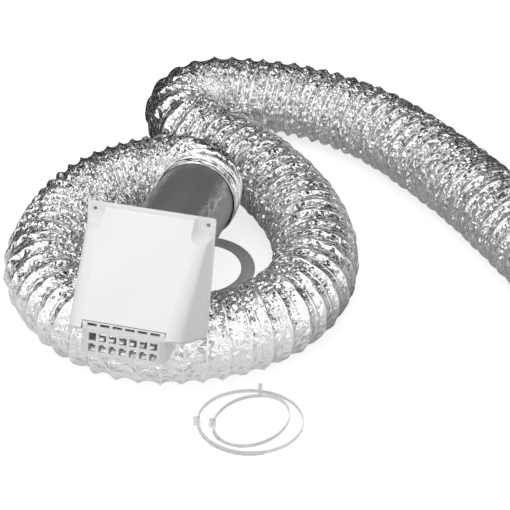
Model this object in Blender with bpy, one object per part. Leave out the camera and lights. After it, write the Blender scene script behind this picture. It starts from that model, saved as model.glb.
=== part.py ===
"""Flexible foil duct kit for a clothes dryer vent, modelled as it lies on a floor.

A ribbed foil duct lies in one loop with a free tail. A white wall hood stands over the
loop with its metal tailpipe pushed into the duct's mouth. A flat wall ring lies inside
the loop, and two nylon ties lie in front. Metres, +Z up, origin under the middle.
"""
import math

import bmesh
import bpy
import numpy as np
from mathutils import Euler, Matrix, Vector

MM = 0.001
GAP = 0.3 * MM                     # seat between two pieces that touch

# ---- foil duct ---------------------------------------------------------------------
DUCT_LENGTH = 2438 * MM            # 8 ft from cut end to cut end
DUCT_SIDES = 12
DUCT_CREST_R = 56.0 * MM           # over the wire turns
DUCT_TROUGH_R = 52.1 * MM          # between the wire turns
DUCT_WALL = 0.9 * MM
RIB_PITCH = 21.8 * MM
MOUTH_RIBS = 4                     # ribs pushed together where the tailpipe enters
MOUTH_RIB_PITCH = 8.0 * MM
MOUTH_FLARE = 1.8 * MM             # how much wider the duct is stretched over the tailpipe
SEAT_FLAT = 0.5 * MM               # how far the crests are flattened by the floor
FLEX_START = 1560 * MM             # along the duct from the mouth
FLEX_LENGTH = 240 * MM
BORE_WALL_LEFT = 0.45              # least share of the wall where the bore skips a rib
MOUTH_LEAD = 28 * MM               # straight run of the duct behind its mouth
# ---- hood --------------------------------------------------------------------------
HOOD_CENTRE = Vector((-122.6 * MM, -254.0 * MM, 174.5 * MM))
HOOD_YAW = math.radians(11.5)
HOOD_LEAN = math.radians(14.7)
HOOD_ROLL = math.radians(2.0)
PLATE_SIZE = 150 * MM
PLATE_THICK = 3.0 * MM
PLATE_CORNER_R = 3.5 * MM
SCREW_HOLE_D = 5.0 * MM
SCREW_EDGE = 8.5 * MM
COVER_WALL = 2.2 * MM
COVER_MARGIN = 3.0 * MM            # plate left showing beside the cover
COVER_TOP_MARGIN = 1.2 * MM
COVER_OPENING_DROP = 25 * MM       # how far below its foot the cover's hollow is cut
COVER_DRAFT = 0.065                # how much each side wall leans in
ROOF_DEPTH = 12 * MM
LIP_DEPTH = 106 * MM
LIP_DROP = 34 * MM                 # lip below the plate's middle
COVER_SIDE_R = 17 * MM
POCKET_SIZE = 23 * MM
POCKET_R = 9 * MM
# ---- tailpipe and its collar ---------------------------------------------------------
PIPE_SEGMENTS = 48
PIPE_CLEARANCE = 0.5 * MM          # tailpipe in the duct, measured at the bore's flats
PIPE_WALL = 0.6 * MM
MOUTH_DISTANCE = 228 * MM          # plate's back to the duct's mouth
PIPE_INSERTION = 27 * MM
COLLAR_LENGTH = 22 * MM
COLLAR_WALL = 2.0 * MM
SEAT_RIM = 1.0 * MM                # collar's end in front of the plate, where the damper rests
SHOULDER_HEIGHT = 1.5 * MM         # step on the plate's back that the tailpipe's end meets
SHOULDER_MARGIN = 1.2 * MM         # step left showing round the tailpipe
# ---- damper --------------------------------------------------------------------------
FLAP_MARGIN = 3.5 * MM             # flap over the throat, all round
FLAP_THICK = 1.5 * MM
FLAP_PIN_R = 1.5 * MM
FLAP_PIN_LENGTH = 3.0 * MM
FLAP_HINGE_HALF = 38.0 * MM         # half the hinge barrel, clear of the screw pockets
FLAP_SHOULDER = 21.0 * MM           # height of the slanted shoulders under the barrel
FLAP_CORNER_R = 8.0 * MM
PIN_CLEARANCE = 0.25 * MM
EAR_WALL = 2.0 * MM
EAR_THICK = 3.0 * MM
# ---- bird guard ----------------------------------------------------------------------
GUARD_WALL = 2.0 * MM
GUARD_HALF_WIDTH = 49 * MM
GUARD_FACE_DEPTH = 102 * MM
GUARD_BOTTOM = 67 * MM             # below the plate's middle
GUARD_RIM_TOP = 27.6 * MM          # below the plate's middle
GUARD_RIM_HALF = 47 * MM
GUARD_CORNER_R = 9 * MM
GUARD_CELL = 8.4 * MM
GUARD_CELL_PITCH = 11.7 * MM
GUARD_COLUMNS = 7
GUARD_CELL_HEIGHT = 10.0 * MM
GUARD_ROW_PITCH = 13.3 * MM
GUARD_FACE_ROWS = 2
GUARD_FLOOR_ROWS = 5
GUARD_FLOOR_CELL = 9.4 * MM
GUARD_FLOOR_PITCH = 13.0 * MM
GUARD_SLOTS = 6
GUARD_SLOT_LENGTH = 10.8 * MM
GUARD_SLOT_HEIGHT = 3.6 * MM
GUARD_SLOT_PITCH = 14.4 * MM
# ---- wall ring -----------------------------------------------------------------------
RING_CENTRE = Vector((-69.9 * MM, -30.0 * MM, 0.0))
RING_OUTER_R = 70 * MM
RING_INNER_R = 51.5 * MM
RING_THICK = 1.2 * MM
# ---- nylon ties ----------------------------------------------------------------------
TIE_WIDTH = 4.8 * MM
TIE_THICK = 1.3 * MM
TIE_TURN_GAP = 0.5 * MM            # between the band and its own tail
TIE_HEAD_LENGTH = 9.0 * MM
TIE_HEAD_DEPTH = 8.0 * MM
TIE_HEAD_HEIGHT = 6.4 * MM
TIE_SLOT_CLEARANCE = 0.35 * MM
LARGE_TIE_CENTRE = Vector((-4.6 * MM, -327.0 * MM, 0.0))
LARGE_TIE_HALF_LENGTH = 62.0 * MM
LARGE_TIE_HALF_WIDTH = 53.0 * MM
LARGE_TIE_TAIL = 104.0             # degrees of tail past the head
SMALL_TIE_CENTRE = Vector((-3.4 * MM, -325.5 * MM, 0.0))
SMALL_TIE_HALF_LENGTH = 49.0 * MM
SMALL_TIE_HALF_WIDTH = 38.0 * MM
SMALL_TIE_TURN = math.radians(40.0)
SMALL_TIE_TAIL = 40.0
TAB_WIDTH = 5.0 * MM
TAB_HEIGHT = 22.0 * MM

# Sizes that follow from the ones above.
DUCT_BORE_R = DUCT_TROUGH_R - DUCT_WALL
FLAT_RATIO = math.cos(math.pi / DUCT_SIDES)      # flat's distance over corner's distance
AXIS_HEIGHT = DUCT_CREST_R * FLAT_RATIO - SEAT_FLAT
PIPE_OUTER_R = (DUCT_BORE_R + MOUTH_FLARE) * FLAT_RATIO - PIPE_CLEARANCE
PIPE_INNER_R = PIPE_OUTER_R - PIPE_WALL
PIPE_LENGTH = MOUTH_DISTANCE + PIPE_INSERTION
COLLAR_R = PIPE_INNER_R - GAP
THROAT_R = COLLAR_R - COLLAR_WALL
HALF_PLATE = PLATE_SIZE / 2
FRONT = -PLATE_THICK                             # hood's own frame: wall side is +Y


# ---- helpers -------------------------------------------------------------------------
def clear_scene():
    for item in list(bpy.data.objects):
        bpy.data.objects.remove(item, do_unlink=True)


def material(name, colour, roughness, metallic=0.0, alpha=1.0):
    mat = bpy.data.materials.new(name)
    mat.use_nodes = True
    shader = mat.node_tree.nodes["Principled BSDF"]
    shader.inputs["Base Color"].default_value = (*colour, 1.0)
    shader.inputs["Roughness"].default_value = roughness
    shader.inputs["Metallic"].default_value = metallic
    shader.inputs["Alpha"].default_value = alpha
    return mat


def add_object(name, mesh_or_bm, mat=None, parent=None):
    """Link a mesh as a named object, with outward faces."""
    if isinstance(mesh_or_bm, bmesh.types.BMesh):
        bmesh.ops.recalc_face_normals(mesh_or_bm, faces=mesh_or_bm.faces[:])
        if mesh_or_bm.calc_volume(signed=True) < 0:
            bmesh.ops.reverse_faces(mesh_or_bm, faces=mesh_or_bm.faces[:])
        mesh = bpy.data.meshes.new(name)
        mesh_or_bm.to_mesh(mesh)
        mesh_or_bm.free()
    else:
        mesh = mesh_or_bm
    item = bpy.data.objects.new(name, mesh)
    bpy.context.scene.collection.objects.link(item)
    if mat is not None:
        mesh.materials.append(mat)
    item.parent = parent
    return item


def shade_round(item, degrees=30.0):
    item.data.shade_smooth()
    item.data.set_sharp_from_angle(angle=math.radians(degrees))


def combine(item, other, operation):
    """Join another solid to this one, or cut it out, and drop the other."""
    tool = item.modifiers.new("cut", "BOOLEAN")
    tool.operation = operation
    tool.solver = "EXACT"
    tool.object = other
    graph = bpy.context.evaluated_depsgraph_get()
    mesh = bpy.data.meshes.new_from_object(item.evaluated_get(graph))
    item.modifiers.clear()
    old = item.data
    item.data = mesh
    bpy.data.meshes.remove(old)
    bpy.data.objects.remove(other, do_unlink=True)
    return item


def solid(bm):
    """A loose solid in the hood's own frame, used to build or to cut."""
    return add_object("solid", bm)


def box(low, high, bevel=0.0, bevel_axis=None, segments=4):
    """A box between two corners; edges along bevel_axis may be rounded."""
    bm = bmesh.new()
    middle = (Vector(low) + Vector(high)) / 2
    size = Vector(high) - Vector(low)
    bmesh.ops.create_cube(bm, size=1.0, matrix=Matrix.Translation(middle) @ Matrix.Diagonal((*size, 1.0)))
    if bevel:
        along = Vector((0, 0, 0))
        along["XYZ".index(bevel_axis)] = 1.0
        edges = [e for e in bm.edges
                 if abs((e.verts[0].co - e.verts[1].co).normalized().dot(along)) > 0.99]
        bmesh.ops.bevel(bm, geom=edges, offset=bevel, segments=segments, profile=0.5, affect="EDGES")
    return bm


def prism(outline, low, high):
    """Extrude a (depth, height) outline along X; depth runs out of the wall, to -Y."""
    bm = bmesh.new()
    face = bm.faces.new([bm.verts.new((low, -depth, height)) for depth, height in outline])
    grown = bmesh.ops.extrude_face_region(bm, geom=[face])
    moved = [v for v in grown["geom"] if isinstance(v, bmesh.types.BMVert)]
    bmesh.ops.translate(bm, vec=(high - low, 0, 0), verts=moved)
    return bm


def turned_along_y(profile, closed, segments=PIPE_SEGMENTS):
    """Spin a profile of (radius, y) points round the Y axis."""
    bm = bmesh.new()
    verts = [bm.verts.new((r, y, 0)) for r, y in profile]
    edges = [bm.edges.new((a, b)) for a, b in zip(verts, verts[1:])]
    if closed:
        edges.append(bm.edges.new((verts[-1], verts[0])))
    bmesh.ops.spin(bm, geom=verts + edges, cent=(0, 0, 0), axis=(0, 1, 0),
                   angle=2 * math.pi, steps=segments, use_merge=True)
    bmesh.ops.remove_doubles(bm, verts=bm.verts[:], dist=0.00001)
    return bm


def tube_along_y(inner, outer, start, end):
    """A pipe, or a rod where inner is zero, along the Y axis."""
    return turned_along_y([(inner, start), (outer, start), (outer, end), (inner, end)], inner > 0)


def rod(centre, radius, low, high, axis, segments=16):
    """A plain round rod along X or Y."""
    bm = bmesh.new()
    turn = Matrix.Rotation(math.pi / 2, 4, "Y" if axis == "X" else "X")
    place = Vector(centre)
    place["XYZ".index(axis)] = (low + high) / 2
    bmesh.ops.create_cone(bm, cap_ends=True, segments=segments, radius1=radius, radius2=radius,
                          depth=high - low, matrix=Matrix.Translation(place) @ turn)
    return bm


# ---- the duct's route ----------------------------------------------------------------
def hood_matrix():
    turn = Euler((-HOOD_LEAN, 0, -HOOD_YAW)).to_matrix() @ Matrix.Rotation(HOOD_ROLL, 3, "Y")
    return Matrix.Translation(HOOD_CENTRE) @ turn.to_4x4()


def route_points():
    """Points along the duct's axis: mouth, loop, the tight turn behind it, free tail."""
    frame = hood_matrix()
    lead = [frame @ Vector((0, MOUTH_DISTANCE + MOUTH_LEAD * share, 0)) for share in (0, 0.5, 1)]
    h = AXIS_HEIGHT / MM
    raised = [(-72.6, 13.1, 105.5), (-80.9, 36, 99.5), (-97.0, 54, 94), (-118.5, 64, 89.5),
              (-143, 66.5, 85), (-170, 63, 79.5), (-197, 55, 73), (-221.5, 40, 65.5), (-241, 17.5, 59),
              (-255, -11, h + 0.8)]
    flat = [(-263.5, -44), (-268, -80), (-263.5, -117), (-243.5, -158), (-204, -204), (-147, -234),
            (-84.6, -238), (-18, -220), (36.5, -181), (70.5, -126), (78.5, -60), (64.6, 16), (29.5, 91), (-14, 152), (-58, 199), (-94.5, 236.5),
            (-105.6, 257.5), (-107.7, 281), (-100.7, 303.7), (-86, 321.5), (-65.2, 332.3), (-41.5, 334.5),
            (-2, 329), (52.8, 316), (126.5, 280), (190, 227), (248.4, 151.5), (299, 75), (343, -9),
            (384, -95), (419, -186), (449, -273), (493, -352)]
    points = [Vector(p) * MM for p in raised] + [Vector((x, y, h)) * MM for x, y in flat]
    return lead + points


def smooth_route(points, per_span=16):
    """A centripetal spline through the points, as an array of close positions."""
    pts = [np.array(p) for p in points]
    pts = [2 * pts[0] - pts[1]] + pts + [2 * pts[-1] - pts[-2]]
    curve = []
    for i in range(1, len(pts) - 2):
        p0, p1, p2, p3 = pts[i - 1:i + 3]
        a, b, c = (np.linalg.norm(q - p) ** 0.5 for p, q in ((p0, p1), (p1, p2), (p2, p3)))
        m1 = ((p1 - p0) / a - (p2 - p0) / (a + b) + (p2 - p1) / b) * b
        m2 = ((p2 - p1) / b - (p3 - p1) / (b + c) + (p3 - p2) / c) * b
        for k in range(per_span):
            t = k / per_span
            curve.append((2 * t**3 - 3 * t**2 + 1) * p1 + (t**3 - 2 * t**2 + t) * m1
                         + (3 * t**2 - 2 * t**3) * p2 + (t**3 - t**2) * m2)
    curve.append(pts[-2])
    return np.array(curve)


def run_on(curve, length):
    """Carry the line straight on where the duct is longer than its route."""
    missing = length - np.linalg.norm(np.diff(curve, axis=0), axis=1).sum()
    if missing <= 0:
        return curve
    ahead = (curve[-1] - curve[-2]) / np.linalg.norm(curve[-1] - curve[-2])
    count = math.ceil(missing / RIB_PITCH) + 1
    return np.vstack([curve, [curve[-1] + ahead * (missing + RIB_PITCH) * (i + 1) / count for i in range(count)]])


class Route:
    """The duct's axis by length: position, direction and bend radius."""

    def __init__(self, curve):
        self.curve = curve
        self.length = np.r_[0, np.cumsum(np.linalg.norm(np.diff(curve, axis=0), axis=1))]
        tangent = np.gradient(curve, self.length, axis=0)
        self.tangent = tangent / np.linalg.norm(tangent, axis=1)[:, None]
        turn = np.linalg.norm(np.gradient(self.tangent, self.length, axis=0), axis=1)
        self.turn = np.convolve(np.pad(turn, 4, mode="edge"), np.ones(9) / 9, mode="valid")

    def _read(self, table, s):
        return np.array([np.interp(s, self.length, table[:, i]) for i in range(3)])

    def frame(self, s):
        """Position, a level sideways direction and the upward one across the duct."""
        along = self._read(self.tangent, s)
        along /= np.linalg.norm(along)
        side = np.cross(along, (0, 0, 1.0))
        side /= np.linalg.norm(side)
        return self._read(self.curve, s), side, np.cross(side, along)

    def radius(self, s):
        return 1.0 / max(np.interp(s, self.length, self.turn), 1e-6)

    def least_gap(self, reach):
        """Least clear distance between stretches of the duct that lie apart."""
        keep = self.length <= DUCT_LENGTH
        points, along = self.curve[keep][::3], self.length[keep][::3]
        apart = np.linalg.norm(points[:, None] - points[None], axis=2)
        apart[np.abs(along[:, None] - along[None]) < reach] = 9.0
        return float(apart.min() - 2 * DUCT_CREST_R)


def rib_stations():
    """Lengths of the troughs, from the mouth to the tail's cut end."""
    stations = [0.0]
    for _ in range(MOUTH_RIBS):
        stations.append(stations[-1] + MOUTH_RIB_PITCH)
    count = round((DUCT_LENGTH - stations[-1]) / RIB_PITCH)
    step = (DUCT_LENGTH - stations[-1]) / count
    stations += [stations[-1] + step * (i + 1) for i in range(count)]
    return stations


def bore_needs_ring(radius):
    """True where a bore run straight past one rib would thin the wall inside the bend."""
    cut = (radius - DUCT_BORE_R) * (1 - math.cos(RIB_PITCH / radius))
    return cut > DUCT_WALL * (1 - BORE_WALL_LEFT)


def flare(s):
    """How much wider the duct is at a length from its mouth, past the tailpipe's end."""
    past = (s - PIPE_INSERTION) / RIB_PITCH
    return MOUTH_FLARE * (1 - min(max(past - 0.5, 0.0), 1.0))


# ---- the duct's three stretches --------------------------------------------------------
def duct_stretch(name, route, stations, mat, trim_start, trim_end):
    """Ribbed wall round a plain bore. Each rib has a crest between two troughs."""
    bm = bmesh.new()

    def ring(s, radius):
        centre, side, up = route.frame(s)
        radius += flare(s)
        angles = [2 * math.pi * (k + 0.5) / DUCT_SIDES for k in range(DUCT_SIDES)]
        return [bm.verts.new(centre + radius * (math.sin(a) * side - math.cos(a) * up)) for a in angles]

    def bridge(first, second):
        for k in range(DUCT_SIDES):
            n = (k + 1) % DUCT_SIDES
            bm.faces.new((first[k], first[n], second[n], second[k]))

    places = list(stations)
    places[0] += trim_start
    places[-1] -= trim_end
    outer, bore = [], []
    for i, s in enumerate(places):
        outer.append(ring(s, DUCT_TROUGH_R))
        last = i == len(places) - 1
        if not last:
            outer.append(ring((s + places[i + 1]) / 2, DUCT_CREST_R))
        if i == 0 or last or i % 2 == 0 or bore_needs_ring(route.radius(s)):
            bore.append(ring(s, DUCT_BORE_R))
    for rings in (outer, bore):
        for first, second in zip(rings, rings[1:]):
            bridge(first, second)
    bridge(outer[0], bore[0])
    bridge(outer[-1], bore[-1])
    bmesh.ops.recalc_face_normals(bm, faces=bm.faces[:])
    # The crests lie flat where they press on the floor.
    bmesh.ops.bisect_plane(bm, geom=bm.verts[:] + bm.edges[:] + bm.faces[:], dist=1e-7,
                           plane_co=(0, 0, 0), plane_no=(0, 0, 1), clear_inner=True)
    rims = [e for e in bm.edges if e.is_boundary]
    if rims:
        bmesh.ops.holes_fill(bm, edges=rims, sides=0)
    item = add_object(name, bm, mat)
    shade_round(item, 50)
    return item


def build_duct(mat):
    route = Route(run_on(smooth_route(route_points()), DUCT_LENGTH))
    stations = rib_stations()
    first = min(range(len(stations)), key=lambda i: abs(stations[i] - FLEX_START))
    second = min(range(len(stations)), key=lambda i: abs(stations[i] - FLEX_START - FLEX_LENGTH))
    half = GAP / 2
    loop = duct_stretch("duct_loop", route, stations[:first + 1], mat, 0.0, half)
    flex = duct_stretch("duct_flex", route, stations[first:second + 1], mat, half, half)
    tail = duct_stretch("duct_tail", route, stations[second:], mat, half, 0.0)
    middle = (stations[first] + stations[second]) / 2
    pivot = route.frame(middle)[0]
    print("ribs", len(stations) - 1, "least gap between turns mm",
          round(route.least_gap(0.28) / MM, 1),
          "tightest bend mm", round(min(route.radius(s) for s in stations) / MM, 1))
    return [loop, flex, tail], pivot


# ---- hood ------------------------------------------------------------------------------
def lip_line(depth):
    """Height of the cover's bottom edge at a depth: from the plate's foot up to the lip."""
    foot = -HALF_PLATE + COVER_TOP_MARGIN
    rise = (-LIP_DROP - foot) / (LIP_DEPTH - PLATE_THICK)
    return foot + (depth - PLATE_THICK) * rise


def front_line(height):
    """Depth of the cover's slanted front at a height."""
    top = HALF_PLATE - COVER_TOP_MARGIN
    return ROOF_DEPTH + (top - height) * (LIP_DEPTH - ROOF_DEPTH) / (top + LIP_DROP)


def cover_half_width(depth):
    return HALF_PLATE - COVER_MARGIN - COVER_DRAFT * (depth - PLATE_THICK)


def cover_solid(inset, base_depth, drop):
    """The cover's wedge: slanted front, drafted sides, rounded edges, open or cut foot."""
    top = HALF_PLATE - COVER_TOP_MARGIN - inset
    slope = (LIP_DEPTH - ROOF_DEPTH) / (HALF_PLATE - COVER_TOP_MARGIN + LIP_DROP)
    lean = math.hypot(1.0, slope)
    front = lambda height: front_line(height) - inset * lean
    half = lambda depth: cover_half_width(depth) - inset * math.hypot(1.0, COVER_DRAFT)
    # Where the front plane meets the foot plane, moved down by drop.
    rise = (lip_line(LIP_DEPTH) - lip_line(PLATE_THICK)) / (LIP_DEPTH - PLATE_THICK)
    level = lip_line(PLATE_THICK) - drop
    lip_z = (level + rise * (front(0.0) - PLATE_THICK)) / (1 + rise * slope)
    lip_y = front(lip_z)
    foot = level + rise * (base_depth - PLATE_THICK)
    outline = [(base_depth, top), (front(top), top), (lip_y, lip_z), (base_depth, foot)]
    bm = bmesh.new()
    left = [bm.verts.new((-half(d), -d, z)) for d, z in outline]
    right = [bm.verts.new((half(d), -d, z)) for d, z in outline]
    bm.faces.new(left)
    bm.faces.new(reversed(right))
    for i in range(4):
        n = (i + 1) % 4
        bm.faces.new((left[i], right[i], right[n], left[n]))
    bm.edges.ensure_lookup_table()
    sides = [bm.edges.get((left[1], left[2])), bm.edges.get((right[1], right[2]))]
    roof = [bm.edges.get((left[1], right[1]))]
    radius = COVER_SIDE_R - inset
    bmesh.ops.bevel(bm, geom=sides, offset=radius, segments=6, profile=0.5, affect="EDGES")
    bm.edges.ensure_lookup_table()
    roof = [e for e in bm.edges
            if all(abs(v.co.z - top) < 1e-5 for v in e.verts) and all(v.co.y < -base_depth - 1e-5 for v in e.verts)]
    roof = [e for e in roof if abs(e.verts[0].co.y - e.verts[1].co.y) < 1e-5]
    bmesh.ops.bevel(bm, geom=roof, offset=max(4.5 * MM - inset, 1.5 * MM), segments=3, profile=0.5,
                    affect="EDGES")
    return bm


def pocket_solid(side, grow):
    """Corner pocket over a top screw hole, with its lower inner corner rounded."""
    edge = HALF_PLATE - POCKET_SIZE - grow
    reach = HALF_PLATE + 30 * MM
    low = (edge if side > 0 else -reach, -80 * MM, edge)
    high = (reach if side > 0 else -edge, -PLATE_THICK / 2, reach)
    return box(low, high, POCKET_R + grow, "Y", 5)


def build_hood(mat, parent):
    """Wall plate, cover, collar and damper ears: one white moulding."""
    shell = solid(cover_solid(0.0, PLATE_THICK - 1 * MM, 0.0))
    cavity = solid(cover_solid(COVER_WALL, PLATE_THICK, COVER_OPENING_DROP))
    for side in (-1, 1):
        combine(shell, solid(pocket_solid(side, 0.0)), "DIFFERENCE")
        combine(cavity, solid(pocket_solid(side, COVER_WALL)), "DIFFERENCE")
    combine(shell, cavity, "DIFFERENCE")
    # The lip is notched in its middle for the guard's slotted rim.
    rim = GUARD_RIM_HALF + 3 * GAP
    combine(shell, solid(box((-rim, -LIP_DEPTH - 9 * MM, -LIP_DROP - 20 * MM),
                             (rim, -LIP_DEPTH / 2, -GUARD_RIM_TOP + 2 * GAP))), "DIFFERENCE")
    plate = box((-HALF_PLATE, FRONT, -HALF_PLATE), (HALF_PLATE, 0, HALF_PLATE), PLATE_CORNER_R, "Y", 3)
    hood = add_object("hood", plate, mat)
    hole = HALF_PLATE - SCREW_EDGE
    for x, z in ((-hole, hole), (hole, hole), (-hole, -hole), (hole, -hole)):
        combine(hood, solid(rod((x, 0, z), SCREW_HOLE_D / 2, FRONT * 2, -FRONT, "Y", 16)), "DIFFERENCE")
    through = tube_along_y(0, (THROAT_R + COLLAR_R) / 2, FRONT * 2, -FRONT)
    combine(hood, solid(through), "DIFFERENCE")
    # The collar's front end stands proud of the plate, as the damper's seat. A low
    # shoulder round its foot stops the tailpipe clear of the wall.
    shoulder = PIPE_OUTER_R + SHOULDER_MARGIN
    collar = [(THROAT_R, FRONT - SEAT_RIM), (COLLAR_R, FRONT - SEAT_RIM), (COLLAR_R, FRONT / 2),
              (shoulder, FRONT / 2), (shoulder, SHOULDER_HEIGHT), (COLLAR_R, SHOULDER_HEIGHT),
              (COLLAR_R, COLLAR_LENGTH), (THROAT_R, COLLAR_LENGTH)]
    combine(hood, solid(turned_along_y(collar, closed=True)), "UNION")
    for side in (-1, 1):
        combine(hood, combine(solid(ear_solid(side)), solid(ear_bore(side)), "DIFFERENCE"), "UNION")
    combine(hood, shell, "UNION")
    hood.parent = parent
    shade_round(hood, 25)
    return hood


def build_tail_pipe(mat, parent):
    """Thin metal tailpipe, pushed over the collar and into the duct."""
    start = SHOULDER_HEIGHT + GAP
    pipe = add_object("tail_pipe", tube_along_y(PIPE_INNER_R, PIPE_OUTER_R, start, PIPE_LENGTH), mat, parent)
    shade_round(pipe)
    return pipe


# ---- damper ------------------------------------------------------------------------------
def flap_half():
    return THROAT_R + FLAP_MARGIN


def flap_hinge():
    """The damper's hinge line in the hood's frame: (y, z)."""
    return FRONT - SEAT_RIM - GAP - FLAP_THICK / 2, flap_half() + FLAP_PIN_R


def ear_span():
    start = FLAP_HINGE_HALF + PIN_CLEARANCE * 2
    return start, start + EAR_THICK


def ear_reach():
    """Half the ear's height and depth round the pin."""
    return FLAP_PIN_R + PIN_CLEARANCE + EAR_WALL


def ear_solid(side):
    y, z = flap_hinge()
    start, end = ear_span()
    reach = ear_reach()
    low, high = sorted((side * start, side * end))
    return box((low, y - reach, z - reach), (high, FRONT / 2, z + reach), 1.2 * MM, "X", 2)


def ear_bore(side):
    y, z = flap_hinge()
    start, end = ear_span()
    low, high = sorted((side * (start - 1 * MM), side * (end + 1 * MM)))
    return rod((0, y, z), FLAP_PIN_R + PIN_CLEARANCE, low, high, "X", 20)


def build_damper(mat, parent):
    """Backdraught flap over the throat, hung on its own two pins."""
    y, z = flap_hinge()
    pivot = bpy.data.objects.new("damper_pivot", None)
    bpy.context.scene.collection.objects.link(pivot)
    pivot.parent = parent
    pivot.location = (0, y, z)
    half = flap_half()
    back = FRONT - SEAT_RIM - GAP - y
    outline = bmesh.new()
    neck = ear_reach() + EAR_WALL
    corners = [(-half, -2 * half), (half, -2 * half), (half, -FLAP_SHOULDER), (FLAP_HINGE_HALF, -neck),
               (FLAP_HINGE_HALF, 0), (-FLAP_HINGE_HALF, 0), (-FLAP_HINGE_HALF, -neck),
               (-half, -FLAP_SHOULDER)]
    face = outline.faces.new([outline.verts.new((x, back, z)) for x, z in corners])
    grown = bmesh.ops.extrude_face_region(outline, geom=[face])
    moved = [v for v in grown["geom"] if isinstance(v, bmesh.types.BMVert)]
    bmesh.ops.translate(outline, vec=(0, -FLAP_THICK, 0), verts=moved)
    foot = [e for e in outline.edges if abs(e.verts[0].co.y - e.verts[1].co.y) > FLAP_THICK / 2
            and e.verts[0].co.z < -half]
    bmesh.ops.bevel(outline, geom=foot, offset=FLAP_CORNER_R, segments=4, profile=0.5, affect="EDGES")
    flap = add_object("damper", outline, mat)
    start, end = ear_span()
    combine(flap, solid(rod((0, 0, 0), FLAP_PIN_R, -FLAP_HINGE_HALF, FLAP_HINGE_HALF, "X", 16)), "UNION")
    for side in (-1, 1):
        low, high = sorted((side * (FLAP_HINGE_HALF - 2 * MM), side * (start + min(EAR_THICK, FLAP_PIN_LENGTH))))
        combine(flap, solid(rod((0, 0, 0), FLAP_PIN_R * 0.9, low, high, "X", 16)), "UNION")
    flap.parent = pivot
    shade_round(flap)
    return flap


# ---- bird guard ----------------------------------------------------------------------------
def guard_flange(depth):
    """Height of the guard's flange top at a depth, a seat below the cover's foot."""
    return lip_line(depth) - 2 * GAP


def guard_foot_depth():
    """Depth at which the guard's floor runs out under its flange."""
    low, high = PLATE_THICK, LIP_DEPTH
    rise = (guard_flange(high) - guard_flange(low)) / (high - low)
    return low + (-GUARD_BOTTOM - guard_flange(low)) / rise


def build_guard(mat, parent):
    """Removable grille: a slanted flange with a square-holed basket hung from it."""
    front, back = GUARD_FACE_DEPTH, guard_foot_depth()
    wall, bottom = GUARD_WALL, -GUARD_BOTTOM
    outer = prism([(back, bottom), (back, guard_flange(back)), (front, guard_flange(front)),
                   (front, bottom)], -GUARD_HALF_WIDTH, GUARD_HALF_WIDTH)
    corners = [e for e in outer.edges if all(abs(v.co.y + front) < 1e-6 for v in e.verts)
               and abs(e.verts[0].co.x - e.verts[1].co.x) < 1e-6]
    bmesh.ops.bevel(outer, geom=corners, offset=GUARD_CORNER_R, segments=5, profile=0.5, affect="EDGES")
    guard = add_object("guard", outer, mat)
    # Flange under the cover's side walls, from the plate to the lip.
    near, far = PLATE_THICK + 2 * GAP, front
    flange = bmesh.new()
    tops = [(-cover_half_width(near), near), (cover_half_width(near), near),
            (cover_half_width(far), far), (-cover_half_width(far), far)]
    face = flange.faces.new([flange.verts.new((x, -d, guard_flange(d))) for x, d in tops])
    grown = bmesh.ops.extrude_face_region(flange, geom=[face])
    moved = [v for v in grown["geom"] if isinstance(v, bmesh.types.BMVert)]
    bmesh.ops.translate(flange, vec=(0, 0, -wall), verts=moved)
    combine(guard, solid(flange), "UNION")
    inner = prism([(back + 3 * wall, bottom + wall), (back + 3 * wall, guard_flange(back) + 3 * wall),
                   (front - wall, guard_flange(front) + 3 * wall), (front - wall, bottom + wall)],
                  -GUARD_HALF_WIDTH + wall, GUARD_HALF_WIDTH - wall)
    corners = [e for e in inner.edges if all(abs(v.co.y + front - wall) < 1e-6 for v in e.verts)
               and abs(e.verts[0].co.x - e.verts[1].co.x) < 1e-6]
    bmesh.ops.bevel(inner, geom=corners, offset=GUARD_CORNER_R - wall, segments=5, profile=0.5,
                    affect="EDGES")
    combine(guard, solid(inner), "DIFFERENCE")
    rim = box((-GUARD_RIM_HALF, -front, guard_flange(front) - wall), (GUARD_RIM_HALF, -front + wall, -GUARD_RIM_TOP))
    combine(guard, solid(rim), "UNION")
    # Square cells in the face, slots in the rim, cells in the floor.
    cutter = bmesh.new()

    def hole(x, y, z, sx, sy, sz):
        bmesh.ops.create_cube(cutter, size=1.0, matrix=Matrix.Translation((x, y, z)) @ Matrix.Diagonal((sx, sy, sz, 1)))

    deep = 4 * wall
    lowest = bottom + wall * 1.65 + GUARD_CELL_HEIGHT / 2
    for column in range(GUARD_COLUMNS):
        x = (column - (GUARD_COLUMNS - 1) / 2) * GUARD_CELL_PITCH
        for row in range(GUARD_FACE_ROWS):
            hole(x, -front, lowest + row * GUARD_ROW_PITCH, GUARD_CELL, deep, GUARD_CELL_HEIGHT)
        for row in range(GUARD_FLOOR_ROWS):
            y = -front + 2.6 * wall + GUARD_FLOOR_CELL / 2 + row * GUARD_FLOOR_PITCH
            hole(x, y, bottom, GUARD_CELL, GUARD_FLOOR_CELL, deep)
    for slot in range(GUARD_SLOTS):
        x = (slot - (GUARD_SLOTS - 1) / 2) * GUARD_SLOT_PITCH
        hole(x, -front, -GUARD_RIM_TOP - 1.1 * MM - GUARD_SLOT_HEIGHT / 2, GUARD_SLOT_LENGTH, deep, GUARD_SLOT_HEIGHT)
    combine(guard, solid(cutter), "DIFFERENCE")
    guard.parent = parent
    shade_round(guard, 25)
    return guard


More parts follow.
